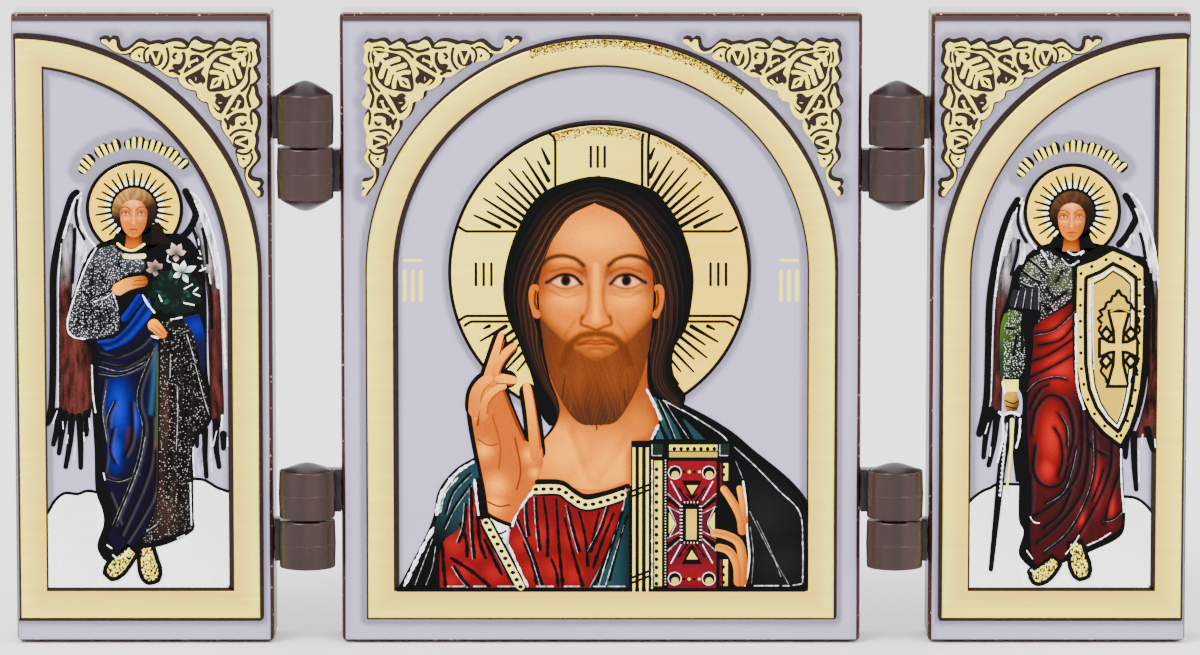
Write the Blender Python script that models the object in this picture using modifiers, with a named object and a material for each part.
"""Folding triptych icon: a centre board and two wings, joined by four plastic barrel hinges.

+Z is up and the pictures face -Y. The origin is the middle of the object's box at its underside, which is
also the middle of the centre board's underside. Both wings stand open, in one plane with the centre.

Each icon sheet is a thin slab with its relief raised on it: an arched band, a halo, the figure, corner
scrolls and rows of strokes. Relief forms are drawn as outlines in millimetres, x to the right and z up from
the panel's foot.
"""

import bmesh
import bpy
import numpy as np
from math import cos, pi, radians, sin
from mathutils import Matrix

MM = 0.001

# Boards
BOARD_HEIGHT = 78.0 * MM
BOARD_DEPTH = 9.0 * MM
CENTRE_WIDTH = 64.0 * MM
WING_WIDTH = 31.8 * MM
PANEL_GAP = 8.4 * MM
EDGE_ROUND = 0.5 * MM

# Icon sheets
SHEET_GAP = 0.1 * MM
SHEET_BASE = 0.3 * MM
SHEET_INSET = 0.45 * MM
SHEET_OUTER_INSET = 0.2 * MM
SHEET_FOOT = 0.3 * MM

# Hinges: the axis stands just in front of the relief, so the folded faces clear each other
AXIS_FORWARD = 0.85 * MM
BARREL_RADIUS = 3.55 * MM
BARREL_DRAFT = 0.12 * MM
KNUCKLE_HEIGHTS = {"bottom": 5.85 * MM, "top": 6.25 * MM}
KNUCKLE_GAP = 0.3 * MM
BORE_RADIUS = 1.8 * MM
MOUTH_RADIUS = 3.0 * MM
MOUTH_DEPTH = 0.6 * MM
PIN_RADIUS = 1.5 * MM
PIN_HEAD_RADIUS = 2.7 * MM
PIN_HEAD_CLEARANCE = 0.3 * MM
PIN_DOMES = {"bottom": 0.9 * MM, "top": 1.3 * MM}
NECK_HEIGHT = 5.2 * MM
NECK_DEPTH = 3.2 * MM
NECK_BACK = 5.0 * MM
NECK_START = 1.2 * MM
PEG_RADIUS = 1.5 * MM
PEG_LENGTH = 5.0 * MM
PEG_CLEARANCE = 0.3 * MM
HINGE_LEVELS = {"bottom": 15.55 * MM, "top": 61.65 * MM}
ROUND_SIDES = 12
PEG_SIDES = 8

# Derived places
OBJECT_DEPTH = BOARD_DEPTH + AXIS_FORWARD + BARREL_RADIUS
FRONT_Y = AXIS_FORWARD + BARREL_RADIUS - OBJECT_DEPTH / 2
AXIS_Y = FRONT_Y - AXIS_FORWARD
AXIS_X = (CENTRE_WIDTH + PANEL_GAP) / 2
WING_CENTRE_X = CENTRE_WIDTH / 2 + PANEL_GAP + WING_WIDTH / 2
SHEET_FACE_Y = FRONT_Y - SHEET_GAP - SHEET_BASE
NECK_Y = AXIS_Y + NECK_BACK - NECK_DEPTH / 2

# Pictures, in millimetres on the panel
BAND_WIDTH = 3.2
CENTRE_BAND_HALF = 28.75
CENTRE_SPRING = 46.0
BAND_FOOT = 3.0
WING_ARCH_RADIUS = 29.7
WING_SPRING = 45.3
PICTURE_FOOT = 6.4
BAND_HEIGHT = 0.22
BAND_CHAMFER = 0.08
WING_BAND_INSET = 0.6
HALO_RADIUS = 18.4
WING_HALO_RADIUS = 5.7
SCROLL_TOP = 75.0
CENTRE_SCROLL_X = 28.6
WING_SCROLL_INSET = 2.2
ROW_MARK_X = 22.9

BOARD_BROWN = (0.09, 0.035, 0.022)
PLASTIC_BROWN = (0.085, 0.045, 0.038)
FOIL_GREY = (0.58, 0.57, 0.62)


# ---------------------------------------------------------------- scene and helpers


def clear_scene():
    for item in list(bpy.data.objects):
        bpy.data.objects.remove(item, do_unlink=True)


def collection(name, parent):
    made = bpy.data.collections.new(name)
    parent.children.link(made)
    return made


def material(name, colour, roughness, metallic=0.0):
    made = bpy.data.materials.new(name)
    made.use_nodes = True
    shader = made.node_tree.nodes["Principled BSDF"]
    shader.inputs["Base Color"].default_value = (*colour, 1.0)
    shader.inputs["Roughness"].default_value = roughness
    shader.inputs["Metallic"].default_value = metallic
    return made


def link_only(item, group):
    for old in list(item.users_collection):
        old.objects.unlink(item)
    group.objects.link(item)


def as_cutter(item, group):
    """Keeps a helper shape out of the finished parts: it only shapes other objects."""
    link_only(item, group)
    item.hide_render = True
    item.display_type = "WIRE"
    return item


def box(name, low, high, group):
    """A cube primitive between two corners, with its size in the mesh."""
    bpy.ops.mesh.primitive_cube_add(size=1)
    item = bpy.context.object
    item.name = name
    item.data.name = name
    size = [b - a for a, b in zip(low, high)]
    middle = [(a + b) / 2 for a, b in zip(low, high)]
    item.data.transform(Matrix.Diagonal((*size, 1)))
    item.location = middle
    link_only(item, group)
    return item


def cylinder_x(name, radius, x0, x1, y, z, group):
    """A cylinder primitive lying along X."""
    bpy.ops.mesh.primitive_cylinder_add(vertices=PEG_SIDES, radius=radius, depth=abs(x1 - x0))
    item = bpy.context.object
    item.name = name
    item.data.transform(Matrix.Rotation(pi / 2, 4, "Y"))
    item.location = ((x0 + x1) / 2, y, z)
    link_only(item, group)
    return item


def turned(name, profile, x, y, z, group):
    """A profile of (radius, height) turned about Z with a Screw. It runs from the top pole to the other."""
    mesh = bpy.data.meshes.new(name)
    verts = [(r, 0, h) for r, h in profile]
    edges = [(i, i + 1) for i in range(len(profile) - 1)]
    mesh.from_pydata(verts, edges, [])
    item = bpy.data.objects.new(name, mesh)
    item.location = (x, y, z)
    group.objects.link(item)
    screw = item.modifiers.new("Turn", "SCREW")
    screw.axis = "Z"
    screw.steps = ROUND_SIDES
    screw.render_steps = ROUND_SIDES
    screw.use_merge_vertices = True
    screw.merge_threshold = 0.00001
    screw.use_smooth_shade = True
    return item


def boolean(item, operation, other=None, group=None, solver="EXACT"):
    mod = item.modifiers.new(operation.title(), "BOOLEAN")
    mod.operation = operation
    mod.solver = solver
    if group is None:
        mod.object = other
    else:
        mod.operand_type = "COLLECTION"
        mod.collection = group
    return mod


# ---------------------------------------------------------------- outlines


def through(points, steps=3, closed=False):
    """Catmull-Rom curve: a cubic from each point to the next whose slopes come from the neighbours."""
    p = np.array(points, float)
    if closed:
        q = np.vstack([p[-1], p, p[0], p[1]])
    else:
        q = np.vstack([2 * p[0] - p[1], p, 2 * p[-1] - p[-2]])
    spans = len(q) - 3
    t = np.arange(steps)[:, None] / steps
    out = []
    for i in range(spans):
        a, b, c, d = q[i : i + 4]
        squared = (2 * a - 5 * b + 4 * c - d) * t**2
        cubed = (3 * b - a - 3 * c + d) * t**3
        out.append(0.5 * (2 * b + (c - a) * t + squared + cubed))
    out = np.vstack(out)
    return out if closed else np.vstack([out, p[-1]])


def ribbon(points, width, steps=1, start=0.35, end=0.15):
    """Outline of a tapering stroke: its half width is a sine swell, never under the start and end shares."""
    path = through(points, steps)
    t = np.linspace(0, 1, len(path))
    along = np.gradient(path, axis=0)
    along /= np.linalg.norm(along, axis=1)[:, None]
    side = np.column_stack([-along[:, 1], along[:, 0]])
    ends = start + (end - start) * t
    half = width / 2 * np.maximum(ends, np.sin(pi * t) ** 0.5)
    return np.vstack([path + side * half[:, None], (path - side * half[:, None])[::-1]])


def ellipse(centre, rx, rz, sides=16, turn=0.0):
    a = np.linspace(0, 2 * pi, sides, endpoint=False)
    x = rx * np.cos(a)
    z = rz * np.sin(a)
    across = centre[0] + x * cos(turn) - z * sin(turn)
    up = centre[1] + x * sin(turn) + z * cos(turn)
    return np.column_stack([across, up])


def rectangle(x0, z0, x1, z1):
    return np.array([(x0, z0), (x1, z0), (x1, z1), (x0, z1)])


def full_arch(half, foot, spring, sides=18):
    """Two feet, two upright sides and a half circle over them."""
    a = np.linspace(0, pi, sides + 1)
    round_part = np.column_stack([half * np.cos(a), spring + half * np.sin(a)])
    return np.vstack([[(-half, foot), (half, foot)], round_part])


def half_arch(middle_x, radius, foot, spring, toward, stop_short=0.0, sides=9):
    """Half an arch about middle_x: it rises from the hinge side and stops stop_short before its crown."""
    a = np.linspace(0, pi / 2 - stop_short, sides + 1)
    x = middle_x + toward * radius * np.cos(a)
    round_part = np.column_stack([x, spring + radius * np.sin(a)])
    return np.vstack([[(round_part[-1, 0], foot), (round_part[0, 0], foot)], round_part])


class Form:
    """One raised form: its outline loops (the first outer, the rest holes), its height and its chamfer."""

    def __init__(self, name, height, *loops, chamfer=0.0):
        self.name = name
        self.height = height
        self.loops = loops
        self.chamfer = chamfer


class Dome:
    """A low rounded form, from a sphere, standing height high over the sheet."""

    def __init__(self, name, height, centre, rx, rz):
        self.name = name
        self.height = height
        self.centre = centre
        self.rx = rx
        self.rz = rz


def strokes(name, height, paths, width, **taper):
    return [Form(f"{name} {i}", height + 0.004 * i, ribbon(p, width, **taper)) for i, p in enumerate(paths)]


# ---------------------------------------------------------------- ornaments and figures, in millimetres


def corner_scrolls(corner_x, corner_z, across):
    """Scrollwork in a top corner, alike about its diagonal: a framed leaf and an arm along each edge.

    Points are (along the edge, away from it), measured from the corner. across is +1 or -1 along X."""

    def place(points, flip):
        p = np.array(points, float)
        if flip:
            p = p[:, ::-1]
        return np.column_stack([corner_x + across * p[:, 0], corner_z - p[:, 1]])

    frame = [(0.3, 0.3), (3.2, 0.0), (5.8, 0.4), (7.0, 3.2), (6.7, 6.7), (3.2, 7.0), (0.4, 5.8), (0.0, 3.2)]
    frame = np.array(frame)
    inner = frame.mean(axis=0) + (frame - frame.mean(axis=0)) * 0.78
    forms = [
        Form("leaf frame", 0.15, place(frame, False), place(inner, False)[::-1]),
        Form("leaf stem", 0.18, place(ribbon([(5.2, 5.2), (3.6, 3.6), (1.7, 1.7)], 0.9), False)),
    ]
    arm = [
        (1.1, [(4.4, 3.4), (4.2, 2.5), (3.3, 1.7)]),
        (1.2, [(6.6, 1.3), (8.6, 0.5), (10.4, 1.8), (10.3, 3.6)]),
        (1.0, [(6.6, 5.1), (8.8, 4.8), (8.4, 2.9)]),
        (0.9, [(11.0, 4.0), (13.4, 2.9), (13.0, 0.5)]),
        (0.8, [(13.4, 1.0), (15.4, 2.0), (17.6, 0.9), (19.3, 0.2)]),
    ]
    for flip in (False, True):
        ring = ellipse((11.9, 1.9), 1.2, 1.2, 8)
        hole = ellipse((11.9, 1.9), 0.65, 0.65, 6)
        forms.append(Form("scroll ring", 0.165, place(ring, flip), place(hole, flip)[::-1]))
        for i, (width, path) in enumerate(arm):
            height = 0.14 + 0.004 * i + 0.002 * flip
            forms.append(Form(f"scroll arm {i}", height, place(ribbon(path, width), flip)))
    return forms


def text_strokes(name, centre, radius, first, last, count, length):
    """A row of short upright strokes along an arc, between two angles in degrees."""
    forms = []
    for i in range(count):
        a = radians(first + (last - first) * i / (count - 1))
        out = np.array([cos(a), sin(a)])
        half = np.array([-sin(a), cos(a)]) * 0.25
        low = np.array(centre) + out * radius
        high = low + out * length * (1.0 if i % 3 else 0.75)
        forms.append(Form(f"{name} {i}", 0.1, np.array([low - half, low + half, high + half, high - half])))
    return forms


def blessing_hand():
    palm = [(-11.0, 15.0), (-13.9, 17.2), (-15.4, 22.5), (-15.7, 28.0), (-13.5, 31.2), (-10.6, 30.6)]
    palm += [(-7.6, 24.0), (-8.7, 18.3)]
    fingers = [
        [(-13.9, 29.5), (-13.3, 34.6), (-12.2, 38.8)],
        [(-12.3, 29.8), (-11.7, 34.0), (-10.4, 37.6)],
        [(-15.0, 28.5), (-14.0, 32.6), (-10.6, 33.2)],
        [(-8.1, 22.5), (-8.2, 27.6), (-9.1, 32.4)],
    ]
    forms = [Form("palm", 0.25, through(palm, 1, closed=True))]
    return forms + strokes("finger", 0.265, fingers, 1.7, start=0.9, end=0.5)


def book():
    """A closed book: page block at its left, a cover with a raised border, four bosses and a square jewel."""
    forms = [
        Form("pages", 0.2, rectangle(3.9, 6.5, 6.3, 24.9)),
        Form("cover", 0.25, rectangle(6.1, 6.6, 16.1, 25.0)),
        Form("cover border", 0.28, rectangle(6.5, 7.0, 15.7, 24.6), rectangle(7.8, 8.2, 14.4, 23.2)[::-1]),
        Form("jewel", 0.272, rectangle(10.1, 13.2, 12.2, 17.4)),
    ]
    for x in (9.1, 13.0):
        for z in (9.6, 21.4):
            forms.append(Form("boss", 0.276, ellipse((x, z), 0.8, 0.8, 6)))
    fingers = [
        [(18.1, 12.0), (17.7, 17.2), (15.4, 19.7)],
        [(18.0, 10.2), (16.3, 13.0), (13.6, 14.0)],
        [(18.0, 8.4), (16.5, 10.8), (14.4, 11.6)],
    ]
    return forms + strokes("holding finger", 0.288, fingers, 1.6, start=0.9, end=0.5)


def hair_and_head():
    """A long head of hair parted in the middle, with the head, neck and beard in front of it."""
    hair = [(-0.3, 57.6), (5.4, 56.0), (9.8, 51.8), (11.4, 46.2), (10.4, 39.6), (8.7, 35.0), (10.4, 30.4)]
    hair += [(0.0, 28.6), (-5.6, 27.8), (-9.0, 32.8), (-10.6, 38.4), (-12.0, 45.0), (-10.3, 52.0)]
    hair.append((-5.9, 56.2))
    neck = [(-5.4, 33.0), (-6.0, 27.0), (-8.6, 23.2), (-7.4, 19.8), (0.0, 18.4), (3.6, 20.2), (6.2, 27.0)]
    neck.append((6.0, 33.0))
    beard = [(-6.5, 41.5), (-5.7, 34.8), (-3.4, 29.8), (-0.4, 27.5), (2.6, 29.8), (4.9, 34.8), (5.7, 41.5)]
    beard.append((-0.4, 38.0))
    locks = []
    partings = []
    for side in (-1, 1):
        locks.append([(side * 6.9, 48.0), (side * 8.9, 43.5), (side * 7.7, 37.5), (side * 8.2, 32.0)])
        partings.append([(side * 1.2, 56.0), (side * 5.4, 53.4), (side * 8.0, 48.6)])
    return [
        Form("hair", 0.18, through(hair, 1, closed=True)),
        Form("neck", 0.19, through(neck, 1, closed=True)),
        Dome("head", 0.285, (-0.4, 44.6), 7.0, 9.4),
        Form("beard", 0.24, through(beard, 1, closed=True)),
        *strokes("lock", 0.21, locks, 1.2),
        *strokes("parting", 0.225, partings, 0.9),
    ]


def centre_figure():
    """A blessing half figure with a long head of hair, a beard, a robe, a cloak and a book."""
    cloak = [(-24.9, 6.6), (-21.8, 13.5), (-19.4, 18.4), (-15.6, 22.3), (-9.5, 25.6), (-6.0, 29.5)]
    cloak += [(6.0, 31.4), (11.0, 29.0), (16.2, 25.7), (21.0, 21.3), (25.2, 16.7), (25.2, 6.6)]
    neckline = [(-8.1, 19.8), (-4.2, 17.6), (-1.2, 16.4), (1.8, 18.0), (4.0, 19.0)]
    cuff = [(-14.6, 15.6), (-12.6, 11.4), (-10.0, 6.8)]
    robe_folds = []
    for i in range(5):
        robe_folds.append([(-8.6 + 2.4 * i, 16.4), (-8.0 + 2.2 * i, 12.0), (-7.2 + 2.0 * i, 7.4)])
    sleeve_folds = []
    for i in range(3):
        sleeve_folds.append([(-18.6 + 1.9 * i, 17.0 - 1.2 * i), (-18.4 + i, 12.4), (-20.4 + 2.4 * i, 7.6)])
    cloak_folds = [[(7.2 + 3.4 * i, 29.3 - 2.2 * i), (12.0 + 2.6 * i, 25.6 - 1.4 * i)] for i in range(2)]
    for i in range(3):
        cloak_folds.append([(18.0 + 1.6 * i, 21.0 - 2.0 * i), (19.8 + 1.4 * i, 14.0), (21.0 + 1.2 * i, 7.6)])
    return [
        Form("cloak", 0.13, through(cloak, 1)),
        *hair_and_head(),
        Form("neckline", 0.215, ribbon(neckline, 1.3, start=0.8, end=0.8)),
        Form("cuff", 0.225, ribbon(cuff, 1.6, start=0.8, end=0.8)),
        *strokes("robe fold", 0.16, robe_folds, 0.8),
        *strokes("sleeve fold", 0.165, sleeve_folds, 0.8),
        *strokes("cloak fold", 0.155, cloak_folds, 0.8),
        *blessing_hand(),
        *book(),
    ]


def halo_cross():
    """Lines that mark the arms of the cross in the centre halo."""
    forms = []
    for side in (-1, 1):
        forms.append(Form("halo upright", 0.135, rectangle(side * 5.4 - 0.2, 57.5, side * 5.4 + 0.2, 63.0)))
        for z in (40.5, 51.1):
            x0, x1 = sorted((side * 11.5, side * 17.0))
            forms.append(Form("halo bar", 0.135, rectangle(x0, z - 0.2, x1, z + 0.2)))
    return forms


def feathered_wing(root_x, side, top, foot):
    """One folded wing: a long leaf from a tip over the shoulder down to three quills, with a raised edge."""

    def at(out, z):
        return root_x + side * out, z

    blade = [at(1.6, top), at(3.9, top - 5.5), at(4.9, top - 14.0), at(5.1, foot + 5.0)]
    blade += [at(1.2, foot + 4.6), at(0.6, foot + 16.0)]
    edge = [at(1.7, top - 0.5), at(3.3, top - 7.0), at(3.6, top - 16.0), at(3.1, foot + 7.0)]
    quills = []
    for i in range(3):
        quill = [(4.9 - 1.5 * i, foot + 5.6), (4.6 - 1.3 * i, foot + 2.6), (4.2 - i, foot + 0.6 * i)]
        quills.append([at(out, z) for out, z in quill])
    return [
        Form("wing", 0.115, through(blade, 1, closed=True)),
        Form("wing edge", 0.155, ribbon(edge, 1.0)),
        *strokes("quill", 0.13, quills, 1.1, start=0.8, end=0.2),
    ]


def clouds(left, right, crown, shoulders):
    """A cloud bank: the picture's foot below a wavy edge."""
    low = crown - 1.6
    edge = through([(right, low), (shoulders[1], crown), (shoulders[0], crown), (left, low)], 2)
    return Form("clouds", 0.09, np.vstack([[(left, PICTURE_FOOT), (right, PICTURE_FOOT)], edge]))


def angel_head(centre, hair_width):
    """A halo with a small head of hair, a face and a neck."""
    x, z = centre
    return [
        Form("halo", 0.165, ellipse(centre, WING_HALO_RADIUS, WING_HALO_RADIUS, 14)),
        Form("hair", 0.2, ellipse((x - 0.1, z - 0.6), hair_width, 3.7, 10)),
        Form("neck", 0.21, rectangle(x - 1.0, z - 5.0, x + 0.8, z - 3.0)),
        Dome("head", 0.27, (x - 0.1, z - 0.7), 2.1, 2.9),
    ]


def angel_with_lilies():
    """A standing winged figure in a tunic and a long robe, with a mantle over its arm and three lilies."""
    tunic = [(-2.6, 49.4), (-6.0, 47.6), (-8.3, 42.4), (-9.0, 38.8), (-6.8, 37.4), (-2.6, 39.2), (2.2, 42.0)]
    tunic += [(3.2, 47.6), (0.8, 49.4)]
    robe = [(-0.6, 43.0), (-4.2, 40.2), (-5.7, 36.4), (-5.4, 27.0), (-4.6, 18.5), (-5.0, 10.6), (-0.4, 11.4)]
    robe += [(5.6, 13.8), (6.0, 22.0), (5.6, 34.0), (4.0, 42.2)]
    mantle = [(2.2, 38.6), (7.0, 38.2), (8.4, 28.0), (6.2, 19.0), (5.8, 14.0), (1.4, 12.0), (2.2, 24.0)]
    folds = [[(-2.8 + 0.9 * i, 35.4), (-3.8 + 1.5 * i, 24.0), (-4.2 + 1.4 * i, 13.0)] for i in range(3)]
    folds += [[(3.4 + 1.4 * i, 36.4), (3.4 + 1.6 * i, 27.0), (2.6 + 1.1 * i, 16.0)] for i in range(3)]
    sash = [[(-5.4, 36.6), (-1.8, 34.8), (2.2, 38.0)]]
    hands = [[(-3.6, 44.2), (-1.6, 44.6), (0.6, 44.8)], [(0.8, 39.8), (1.8, 38.8), (2.8, 38.0)]]
    leaves = [[(1.6, 42.0), (3.8, 43.6), (6.2, 42.6)], [(2.0, 41.4), (4.6, 44.6), (6.6, 46.6)]]
    lilies = (((1.6, 46.4), 0.3), ((3.6, 48.6), 1.2), ((4.6, 46.4), -0.5))
    shoes = [[(-2.0, 12.2), (-3.0, 10.2), (-3.8, 8.6)], [(0.0, 12.2), (0.5, 10.0), (0.6, 8.2)]]
    return [
        clouds(-12.0, 10.4, 18.9, (-8.2, 8.6)),
        *feathered_wing(-5.6, -1, 56.2, 21.6),
        *feathered_wing(5.2, 1, 56.2, 21.6),
        *angel_head((-0.9, 53.9), 3.0),
        Form("tunic", 0.185, through(tunic, 1, closed=True)),
        Form("robe", 0.205, through(robe, 1, closed=True)),
        Form("mantle", 0.22, through(mantle, 1, closed=True)),
        *strokes("fold", 0.24, folds, 0.7),
        *strokes("sash", 0.23, sash, 0.8),
        *strokes("hand", 0.275, hands, 1.5, start=0.8, end=0.5),
        *[Form("lily", 0.265, ellipse(middle, 1.5, 0.9, 6, turn)) for middle, turn in lilies],
        *strokes("leaf", 0.25, leaves, 1.1),
        *strokes("shoe", 0.23, shoes, 1.9, start=0.6, end=0.8),
        *text_strokes("row stroke", (-0.9, 53.9), 7.4, 142, 38, 6, 1.5),
    ]


def kite_shield():
    """A tall shield with a pointed top and foot: a raised border and a flared cross on its field."""
    outline = [(6.4, 48.6), (4.4, 47.3), (2.2, 46.7), (2.1, 35.8), (4.0, 29.0), (7.6, 24.7), (9.8, 29.0)]
    outline += [(10.8, 35.8), (10.7, 46.9), (8.6, 47.5)]
    outline = np.array(outline)
    middle = np.array([6.45, 37.6])
    field = middle + (outline - middle) * (0.66, 0.8)
    cross = [(-0.35, 0.35), (-0.8, 3.4), (0.8, 3.4), (0.35, 0.35), (2.2, 0.8), (2.2, -0.8), (0.35, -0.35)]
    cross += [(0.8, -3.4), (-0.8, -3.4), (-0.35, -0.35), (-2.2, -0.8), (-2.2, 0.8)]
    return [
        Form("shield", 0.26, outline),
        Form("shield border", 0.288, outline, field[::-1]),
        Form("shield cross", 0.276, np.array(cross) + (6.5, 38.2)),
    ]


def angel_with_shield():
    """A standing winged figure in scale armour and a wrapped robe, with a lowered sword and a kite shield."""
    armour = [(0.2, 49.4), (-3.8, 48.4), (-6.0, 44.6), (-5.6, 41.0), (-3.4, 38.6), (0.6, 38.6), (4.0, 41.0)]
    armour += [(4.6, 46.6), (3.0, 49.2)]
    sleeve = [(-5.8, 42.0), (-7.2, 38.6), (-7.0, 33.6), (-4.6, 32.6), (-3.6, 38.2)]
    robe = [(1.6, 41.6), (-2.6, 37.0), (-4.0, 31.0), (-3.6, 20.0), (-3.9, 10.8), (1.0, 12.4), (7.2, 14.0)]
    robe += [(7.4, 24.0), (5.4, 38.0)]
    folds = [[(-2.0 + 1.2 * i, 35.0), (-3.2 + 2.0 * i, 26.0), (-3.2 + 1.6 * i, 14.6)] for i in range(4)]
    lappets = [[(-5.6 + 1.1 * i, 44.0), (-5.8 + 1.0 * i, 41.6)] for i in range(3)]
    guard = [(-7.2, 28.7), (-5.8, 28.2), (-4.6, 28.1)]
    shoes = [[(-0.2, 12.4), (-1.3, 10.2), (-2.4, 8.6)], [(2.2, 12.8), (2.7, 10.6), (3.0, 8.6)]]
    return [
        clouds(-10.4, 12.0, 19.4, (-6.4, 9.8)),
        *feathered_wing(-4.0, -1, 55.8, 21.6),
        *feathered_wing(6.6, 1, 55.8, 19.0),
        *angel_head((1.5, 53.4), 2.7),
        Form("armour", 0.185, through(armour, 1, closed=True)),
        Form("sleeve", 0.215, through(sleeve, 1, closed=True)),
        Form("robe", 0.205, through(robe, 1, closed=True)),
        Form("cuff", 0.235, rectangle(-7.0, 31.4, -4.8, 33.2)),
        Form("fist", 0.275, ellipse((-5.9, 29.9), 1.1, 1.3, 8)),
        Form("sword", 0.25, ribbon([(-5.7, 28.6), (-6.8, 19.0), (-8.0, 8.8)], 0.95, start=0.9, end=0.2)),
        Form("sword guard", 0.265, ribbon(guard, 0.6, start=0.8, end=0.8)),
        *strokes("fold", 0.24, folds, 0.7),
        *strokes("lappet", 0.226, lappets, 0.7),
        *strokes("shoe", 0.23, shoes, 1.9, start=0.6, end=0.8),
        *kite_shield(),
        *text_strokes("row stroke", (1.5, 53.4), 7.4, 142, 38, 6, 1.5),
    ]


# ---------------------------------------------------------------- pieces


def relief_mesh(form, root, centre_x, group):
    """A form's outline as a filled 2D curve, solid from its root in the slab to its height, then a mesh."""
    data = bpy.data.curves.new(form.name, "CURVE")
    data.dimensions = "2D"
    data.fill_mode = "BOTH"
    data.render_resolution_u = 0
    for loop in form.loops:
        points = np.asarray(loop) * MM
        spline = data.splines.new("POLY")
        spline.points.add(len(points) - 1)
        for point, (x, z) in zip(spline.points, points):
            point.co = (x, z, 0.0, 1.0)
        spline.use_cyclic_u = True
    chamfer = form.chamfer * MM
    thickness = form.height * MM + root
    data.extrude = thickness / 2 - chamfer
    data.bevel_depth = chamfer
    data.bevel_resolution = 0
    data.offset = -chamfer
    curve = bpy.data.objects.new(form.name, data)
    group.objects.link(curve)
    curve.rotation_euler = (pi / 2, 0, 0)
    curve.location = (centre_x, SHEET_FACE_Y + root - thickness / 2, 0)
    bpy.context.view_layer.update()
    depsgraph = bpy.context.evaluated_depsgraph_get()
    mesh = bpy.data.meshes.new_from_object(curve.evaluated_get(depsgraph))
    welded = bmesh.new()
    welded.from_mesh(mesh)
    bmesh.ops.remove_doubles(welded, verts=welded.verts, dist=1e-6)
    bmesh.ops.recalc_face_normals(welded, faces=welded.faces)
    welded.to_mesh(mesh)
    welded.free()
    item = bpy.data.objects.new(form.name, mesh)
    item.matrix_world = curve.matrix_world
    bpy.data.objects.remove(curve)
    return as_cutter(item, group)


def dome_mesh(dome, centre_x, group):
    bpy.ops.mesh.primitive_uv_sphere_add(segments=10, ring_count=6, radius=1)
    item = bpy.context.object
    item.name = dome.name
    item.data.transform(Matrix.Rotation(pi / 2, 4, "X"))
    item.data.transform(Matrix.Diagonal((dome.rx * MM, dome.height * MM, dome.rz * MM, 1)))
    item.location = (centre_x + dome.centre[0] * MM, SHEET_FACE_Y, dome.centre[1] * MM)
    return as_cutter(item, group)


def icon_sheet(name, centre_x, left, right, forms, parts, cutters, finish):
    """A slab over the board's front with the forms raised on it, all in one union.

    Each form is rooted at its own depth in the slab, so no two of them share a back plane. The MANIFOLD
    solver joins them because EXACT cuts the many flat faces into several times as many triangles."""
    relief = collection(f"{name} relief", cutters)
    for i, form in enumerate(forms):
        if isinstance(form, Dome):
            dome_mesh(form, centre_x, relief)
        else:
            relief_mesh(form, SHEET_BASE * (0.25 + 0.5 * i / len(forms)), centre_x, relief)
    low = (centre_x + left, SHEET_FACE_Y, SHEET_FOOT)
    high = (centre_x + right, SHEET_FACE_Y + SHEET_BASE, BOARD_HEIGHT - SHEET_INSET)
    item = box(name, low, high, parts)
    boolean(item, "UNION", group=relief, solver="MANIFOLD")
    item.data.materials.append(finish)
    return item


def board(name, centre_x, width, hinge_sides, parts, cutters, finish):
    """A board with rounded edges and a blind hole for each hinge peg in its hinge side."""
    low = (centre_x - width / 2, FRONT_Y, 0)
    high = (centre_x + width / 2, FRONT_Y + BOARD_DEPTH, BOARD_HEIGHT)
    item = box(name, low, high, parts)
    bevel = item.modifiers.new("Rounded edges", "BEVEL")
    bevel.width = EDGE_ROUND
    bevel.segments = 2
    bevel.limit_method = "ANGLE"
    holes = collection(f"{name} peg holes", cutters)
    for side, is_wing in hinge_sides:
        face = centre_x + side * width / 2
        for level in HINGE_LEVELS:
            hole = cylinder_x(
                f"{name} {level} hole",
                PEG_RADIUS + PEG_CLEARANCE,
                face + side * PEG_CLEARANCE,
                face - side * (PEG_LENGTH + PEG_CLEARANCE),
                NECK_Y,
                knuckle_middle(level, upper=(level == "top") == is_wing),
                holes,
            )
            as_cutter(hole, holes)
    boolean(item, "DIFFERENCE", group=holes)
    item.data.materials.append(finish)
    return item


def knuckle_middle(level, upper):
    half = (KNUCKLE_HEIGHTS[level] + KNUCKLE_GAP) / 2
    return HINGE_LEVELS[level] + (half if upper else -half)


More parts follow.
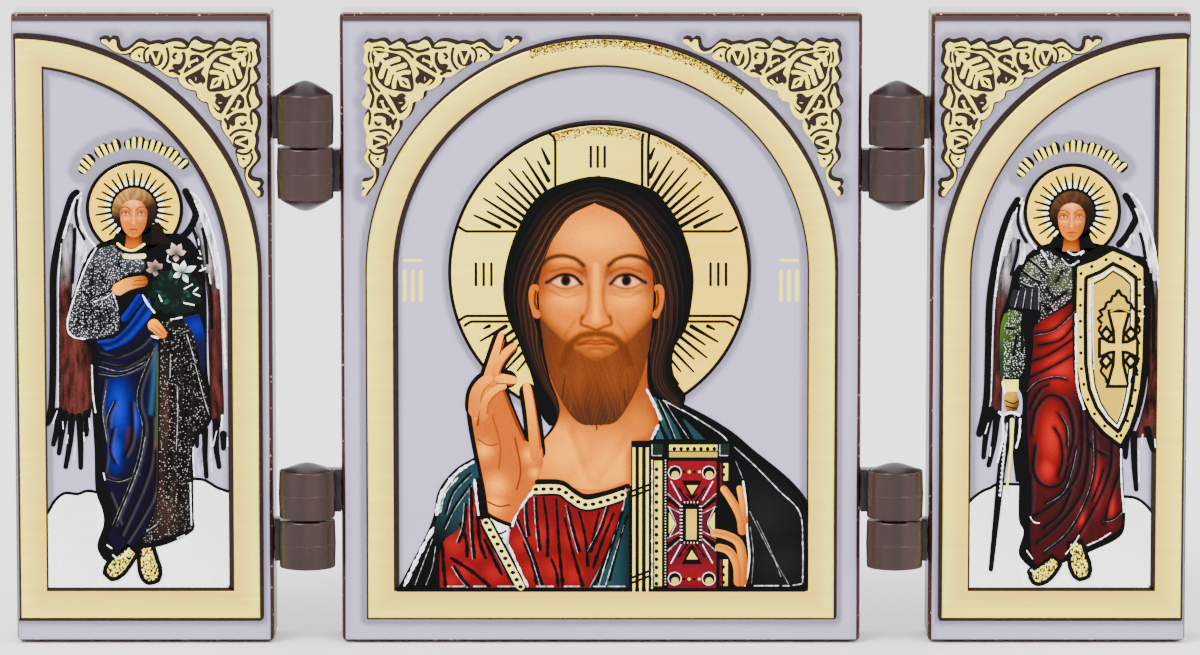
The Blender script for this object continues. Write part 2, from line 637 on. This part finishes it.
def knuckle(name, axis_x, level, upper, toward_board, parts, cutters, finish):
    """Half a barrel hinge: a barrel widest at its moulding seam, a neck behind it, a peg into the board."""
    z = knuckle_middle(level, upper)
    half = KNUCKLE_HEIGHTS[level] / 2
    end_radius = BARREL_RADIUS - BARREL_DRAFT
    outside = [(0, half), (end_radius, half), (BARREL_RADIUS, 0), (end_radius, -half), (0, -half)]
    item = turned(name, outside, axis_x, AXIS_Y, z, parts)
    board_face = axis_x + toward_board * PANEL_GAP / 2
    start = axis_x + toward_board * NECK_START
    stop = board_face - toward_board * 0.1 * MM
    neck = box(
        f"{name} neck",
        (min(start, stop), NECK_Y - NECK_DEPTH / 2, z - NECK_HEIGHT / 2),
        (max(start, stop), NECK_Y + NECK_DEPTH / 2, z + NECK_HEIGHT / 2),
        cutters,
    )
    as_cutter(neck, cutters)
    tip = board_face + toward_board * PEG_LENGTH
    peg = cylinder_x(f"{name} peg", PEG_RADIUS, stop - toward_board * MM, tip, NECK_Y, z, cutters)
    as_cutter(peg, cutters)
    mouth = half - MOUTH_DEPTH
    past = half + 1.0 * MM
    wide_end = [(0, past), (MOUTH_RADIUS, past), (MOUTH_RADIUS, mouth), (BORE_RADIUS, mouth)]
    hollow = wide_end + [(BORE_RADIUS, -past), (0, -past)]
    if not upper:
        hollow = [(radius, -height) for radius, height in reversed(hollow)]
    bore = as_cutter(turned(f"{name} bore", hollow, axis_x, AXIS_Y, z, cutters), cutters)
    boolean(item, "UNION", neck)
    boolean(item, "UNION", peg)
    boolean(item, "DIFFERENCE", bore)
    item.data.materials.append(finish)
    return item


def pin(name, axis_x, level, parts, finish):
    """A rivet-like pin through both knuckles, with a domed head in each outer mouth."""
    reach = KNUCKLE_HEIGHTS[level] + KNUCKLE_GAP / 2
    seat = reach - MOUTH_DEPTH + PIN_HEAD_CLEARANCE
    rise = PIN_DOMES[level]
    dome = [(PIN_HEAD_RADIUS * cos(a), reach + rise * sin(a)) for a in np.linspace(pi / 2, 0, 3)]
    dome[0] = (0, reach + rise)
    top_half = [*dome, (PIN_HEAD_RADIUS, seat), (PIN_RADIUS, seat)]
    profile = top_half + [(r, -h) for r, h in reversed(top_half)]
    item = turned(name, profile, axis_x, AXIS_Y, HINGE_LEVELS[level], parts)
    item.data.materials.append(finish)
    return item


def centre_forms():
    outer = full_arch(CENTRE_BAND_HALF, BAND_FOOT, CENTRE_SPRING)
    inner = full_arch(CENTRE_BAND_HALF - BAND_WIDTH, PICTURE_FOOT, CENTRE_SPRING)
    forms = [Form("arched band", BAND_HEIGHT, outer, inner[::-1], chamfer=BAND_CHAMFER)]
    forms.append(Form("halo", 0.11, ellipse((-0.2, CENTRE_SPRING), HALO_RADIUS, HALO_RADIUS, 24)))
    forms += halo_cross()
    forms += centre_figure()
    for side in (-1, 1):
        forms += corner_scrolls(side * CENTRE_SCROLL_X, SCROLL_TOP, -side)
        for i in range(3):
            x = side * ROW_MARK_X + i - 1
            forms.append(Form("row mark", 0.07, rectangle(x - 0.15, 42.0, x + 0.15, 46.4 + 0.4 * (i % 2))))
    return forms


def wing_forms(toward, figure):
    """A wing's band, scrollwork and figure. toward is +1 where the hinge side is at +X."""
    half = WING_WIDTH / MM / 2
    edge = -toward * (half - WING_BAND_INSET)
    outer_radius = WING_ARCH_RADIUS - WING_BAND_INSET
    inner_radius = outer_radius - BAND_WIDTH
    outer = half_arch(edge, outer_radius, BAND_FOOT, WING_SPRING, toward)
    stop_short = np.arcsin(BAND_WIDTH / inner_radius)
    inner = half_arch(edge, inner_radius, PICTURE_FOOT, WING_SPRING, toward, stop_short)
    forms = [Form("arched band", BAND_HEIGHT, outer, inner[::-1], chamfer=BAND_CHAMFER)]
    forms += corner_scrolls(toward * (half - WING_SCROLL_INSET), SCROLL_TOP, -toward)
    return forms + figure


def build():
    """The whole triptych: boards, icon sheets, hinge knuckles and pins."""
    clear_scene()
    parts = collection("Folding triptych icon", bpy.context.scene.collection)
    cutters = collection("Triptych forms", bpy.context.scene.collection)
    painted = material("Painted board", BOARD_BROWN, 0.35)
    foil = material("Embossed print", FOIL_GREY, 0.4, 0.3)
    plastic = material("Hinge plastic", PLASTIC_BROWN, 0.4)
    half_centre = CENTRE_WIDTH / 2 - SHEET_INSET
    hinge_edge = WING_WIDTH / 2 - SHEET_INSET
    outer_edge = WING_WIDTH / 2 - SHEET_OUTER_INSET

    board("centre_board", 0, CENTRE_WIDTH, [(-1, False), (1, False)], parts, cutters, painted)
    icon_sheet("centre_icon_sheet", 0, -half_centre, half_centre, centre_forms(), parts, cutters, foil)
    for label, side, figure in (("left", -1, angel_with_lilies()), ("right", 1, angel_with_shield())):
        middle = side * WING_CENTRE_X
        board(f"{label}_wing_board", middle, WING_WIDTH, [(-side, True)], parts, cutters, painted)
        edges = sorted([side * outer_edge, -side * hinge_edge])
        icon_sheet(f"{label}_icon_sheet", middle, *edges, wing_forms(-side, figure), parts, cutters, foil)
        for level in HINGE_LEVELS:
            for place, upper in (("upper", True), ("lower", False)):
                on_wing = (level == "top") == upper
                toward = side if on_wing else -side
                name = f"{label}_{level}_knuckle_{place}"
                knuckle(name, side * AXIS_X, level, upper, toward, parts, cutters, plastic)
            pin(f"{label}_{level}_pin", side * AXIS_X, level, parts, plastic)


build()
